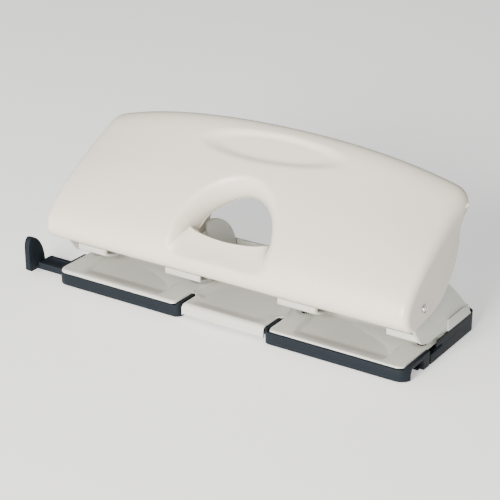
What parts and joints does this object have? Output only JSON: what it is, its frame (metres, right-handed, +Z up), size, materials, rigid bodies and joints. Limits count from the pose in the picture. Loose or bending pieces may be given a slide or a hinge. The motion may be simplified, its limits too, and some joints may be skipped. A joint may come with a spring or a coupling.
{
  "type": "paper hole punch",
  "caption": "Desk hole punch for filing paper, with a long handle cover over its punching heads, chip trays and a sliding guide bar.",
  "frame": {"origin": "on the table, under the middle of the base, on the centre foot's underside", "axes": "+X along the punch to the user's right, +Y from the paper side to the rear, +Z up"},
  "size_m": [0.2862, 0.0968, 0.1145],
  "materials": {
    "cover": "fine satin enamel",
    "base": "satin enamel",
    "dark": "dark blue grey, fine texture",
    "steel": "bright machined steel",
    "zinc": "zinc plated",
    "rubber": "soft grip rubber"
  },
  "bodies": {
    "base": {"base_plate": "base", "back_rail": "base", "frame_cheek_left": "base", "frame_cheek_right": "base", "head_bracket_1": "base", "head_bracket_2": "base", "head_bracket_3": "base", "head_bracket_4": "base", "return_spring_1": "steel", "return_spring_2": "steel", "return_spring_3": "steel", "return_spring_4": "steel", "die_bush_1": "steel", "die_bush_2": "steel", "die_bush_3": "steel", "die_bush_4": "steel", "front_rail_left": "dark", "front_rail_right": "dark", "tray_runners": "dark", "front_feet": "rubber", "centre_foot": "rubber", "bracket_rivets": "zinc", "frame_rivets": "zinc", "pivot_washers": "dark", "guide_detent_spring": "steel"},
    "lever": {"lever_cover": "cover", "press_finger_1": "cover", "press_finger_2": "cover", "press_finger_3": "cover", "press_finger_4": "cover", "pivot_pin_left": "steel", "pivot_pin_right": "steel"},
    "guide": {"guide_bar": "dark"},
    "tray_left": {"chip_tray_left": "dark"},
    "tray_right": {"chip_tray_right": "dark"},
    "punch_1": {"punch_pin_1": "steel", "pin_clip_1": "zinc"},
    "punch_2": {"punch_pin_2": "steel", "pin_clip_2": "zinc"},
    "punch_3": {"punch_pin_3": "steel", "pin_clip_3": "zinc"},
    "punch_4": {"punch_pin_4": "steel", "pin_clip_4": "zinc"}
  },
  "joints": [
    {"name": "lever_press", "type": "hinge", "parent": "base", "child": "lever", "pos_m": [0, -0.031, 0.0435], "axis": [-1, 0, 0], "range_deg": [0, 19], "stiffness_Nm_per_rad": 2, "springref_deg": -28.65},
    {"name": "punch_slide_1", "type": "slide", "parent": "base", "child": "punch_1", "axis": [0, 0, -1], "range_m": [0, 0.0076], "deforming": ["return_spring_1"]},
    {"name": "punch_slide_2", "type": "slide", "parent": "base", "child": "punch_2", "axis": [0, 0, -1], "range_m": [0, 0.0076], "deforming": ["return_spring_2"]},
    {"name": "punch_slide_3", "type": "slide", "parent": "base", "child": "punch_3", "axis": [0, 0, -1], "range_m": [0, 0.0076], "deforming": ["return_spring_3"]},
    {"name": "punch_slide_4", "type": "slide", "parent": "base", "child": "punch_4", "axis": [0, 0, -1], "range_m": [0, 0.0076], "deforming": ["return_spring_4"]},
    {"name": "guide_bar_slide", "type": "slide", "parent": "base", "child": "guide", "axis": [-1, 0, 0], "range_m": [-0.0205, 0.03]},
    {"name": "tray_slide_left", "type": "slide", "parent": "base", "child": "tray_left", "axis": [0, 1, 0], "range_m": [0, 0.036]},
    {"name": "tray_slide_right", "type": "slide", "parent": "base", "child": "tray_right", "axis": [0, 1, 0], "range_m": [0, 0.036]}
  ],
  "couplings": [
    {"joint": "punch_slide_1", "follows": "lever_press", "m_per_rad": 0.0226},
    {"joint": "punch_slide_2", "follows": "lever_press", "m_per_rad": 0.0226},
    {"joint": "punch_slide_3", "follows": "lever_press", "m_per_rad": 0.0226},
    {"joint": "punch_slide_4", "follows": "lever_press", "m_per_rad": 0.0226}
  ]
}
